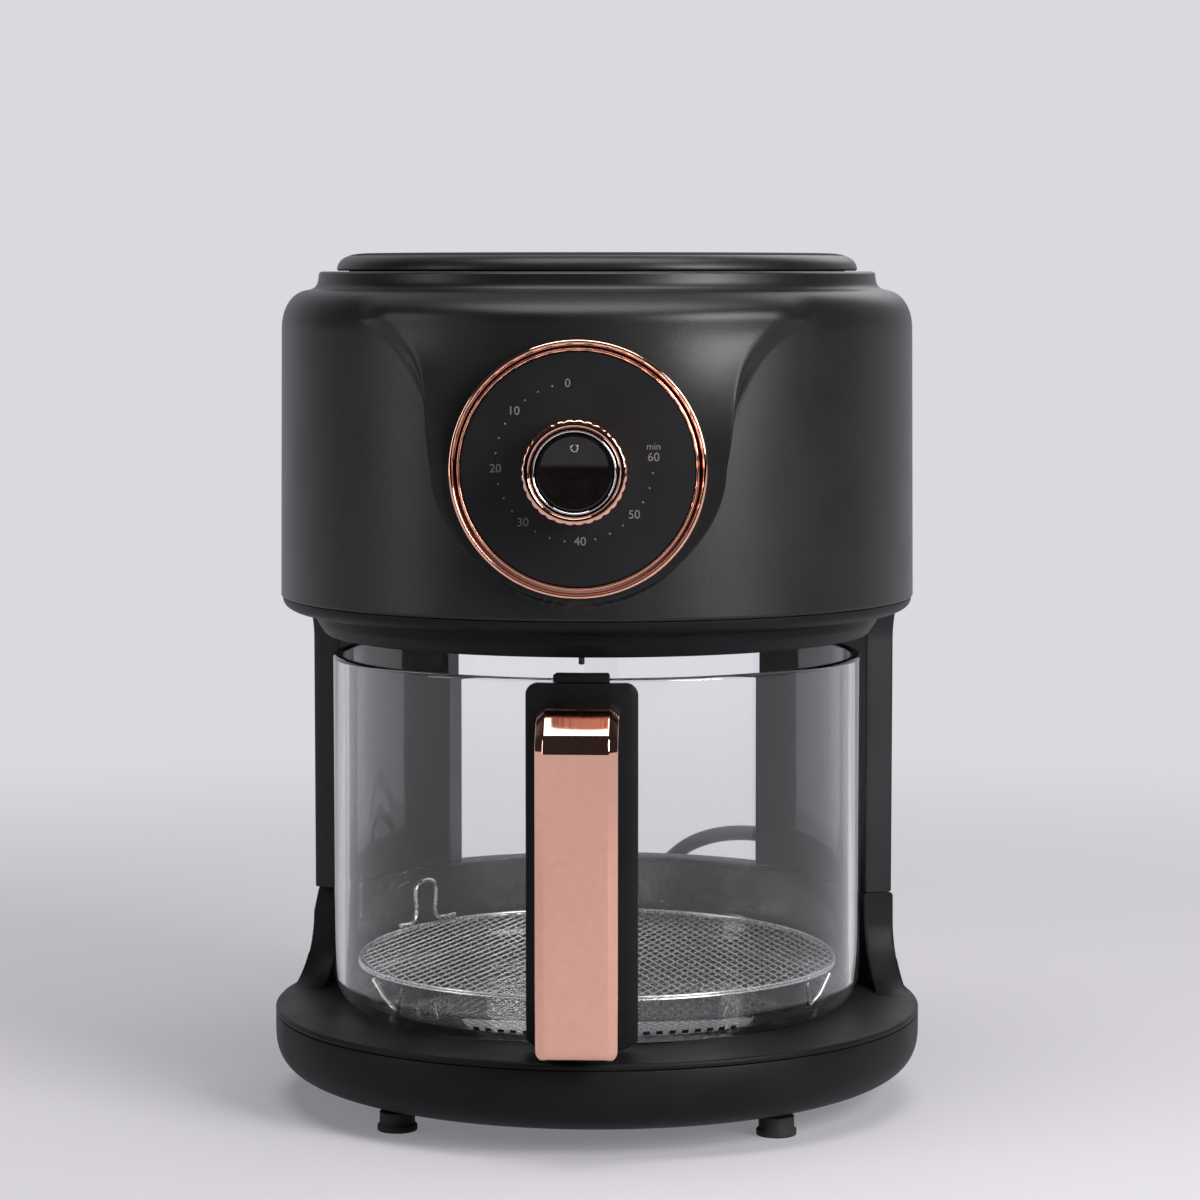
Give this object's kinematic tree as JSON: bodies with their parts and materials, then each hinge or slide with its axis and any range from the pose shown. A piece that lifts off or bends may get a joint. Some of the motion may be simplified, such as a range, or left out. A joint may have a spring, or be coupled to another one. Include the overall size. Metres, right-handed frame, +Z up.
{
  "type": "glass air fryer",
  "caption": "Countertop air fryer with a round black head on two rear columns, a glass pot that draws out by its metallised handle, a wire rack and a timer knob.",
  "frame": {"origin": "on the table, under the middle of the appliance between the knob's front and the base's back", "axes": "+Z up, the dial and the handle face -Y, +X to the right of someone who looks at the dial"},
  "size_m": [0.2832, 0.4296, 0.3695],
  "materials": {
    "base_plastic": "satin moulded black",
    "head_plastic": "fine grained black",
    "rubber": "matte",
    "rose_gold": "vacuum metallised",
    "chrome": "polished",
    "gloss_black": "high gloss",
    "stainless": "bright",
    "dark_steel": "oxidised",
    "aluminium": "pressed",
    "glass": "clear borosilicate",
    "cord": "satin flex",
    "nickel": "plated"
  },
  "bodies": {
    "stand": {"base_pan": "base_plastic", "base_deck": "base_plastic", "foot_front_left": "rubber", "foot_front_right": "rubber", "foot_rear_left": "rubber", "foot_rear_right": "rubber", "base_screw_front_left": "stainless", "base_screw_front_right": "stainless", "base_screw_rear_left": "stainless", "base_screw_rear_right": "stainless", "column_right": "head_plastic", "column_left": "head_plastic", "post_right": "stainless", "post_left": "stainless", "inner_lead": "cord", "head_shell": "head_plastic", "top_cap": "head_plastic", "head_bezel": "head_plastic", "heat_shield": "stainless", "heater_guard": "stainless", "heater_element": "dark_steel", "motor_bridge": "stainless", "fan_motor": "dark_steel", "thermostat": "nickel", "sensor_spring": "stainless", "microswitch": "base_plastic", "timer_body": "nickel", "dial_plate": "base_plastic", "dial_ring": "rose_gold", "cord_gland": "rubber", "power_cord": "cord", "cord_coil": "cord", "cord_tail": "cord", "cord_tie": "rubber", "plug_body": "rubber", "plug_pin_left": "nickel", "plug_pin_right": "nickel", "plug_pin_earth": "nickel"},
    "pot": {"glass_pot": "glass", "rim_clip": "head_plastic", "handle_strap": "base_plastic", "handle_core": "base_plastic", "handle_shell": "rose_gold", "handle_screw_lower": "stainless", "handle_screw_upper": "stainless"},
    "rack": {"rack_rim": "stainless", "rack_net": "stainless", "rack_leg_right": "stainless", "rack_leg_left": "stainless", "rack_leg_rear": "stainless", "rack_loop": "stainless"},
    "knob": {"timer_shaft": "stainless", "knob_core": "head_plastic", "knob_skirt": "rose_gold", "knob_ring": "chrome", "knob_face": "gloss_black"},
    "fan": {"motor_shaft": "stainless", "convection_fan": "aluminium", "cooling_fan": "head_plastic"},
    "switch_pin": {"sensor_pin": "head_plastic"}
  },
  "joints": [
    {"name": "pot_slide", "type": "slide", "parent": "stand", "child": "pot", "axis": [0, -1, 0], "range_m": [0, 0.26]},
    {"name": "rack_lift", "type": "slide", "parent": "pot", "child": "rack", "axis": [0, 0, 1], "range_m": [0, 0.11]},
    {"name": "timer_turn", "type": "hinge", "parent": "stand", "child": "knob", "pos_m": [0, -0.1375, 0.2826], "axis": [0, -1, 0], "range_deg": [0, 271]},
    {"name": "fan_spin", "type": "hinge", "parent": "stand", "child": "fan", "pos_m": [0, 0.0125, 0.24], "axis": [0, 0, 1], "continuous": true},
    {"name": "switch_press", "type": "slide", "parent": "stand", "child": "switch_pin", "axis": [0, 0, 1], "range_m": [0, 0.003], "stiffness_N_per_m": 120, "springref_m": -0.001, "deforming": ["sensor_spring"]}
  ]
}
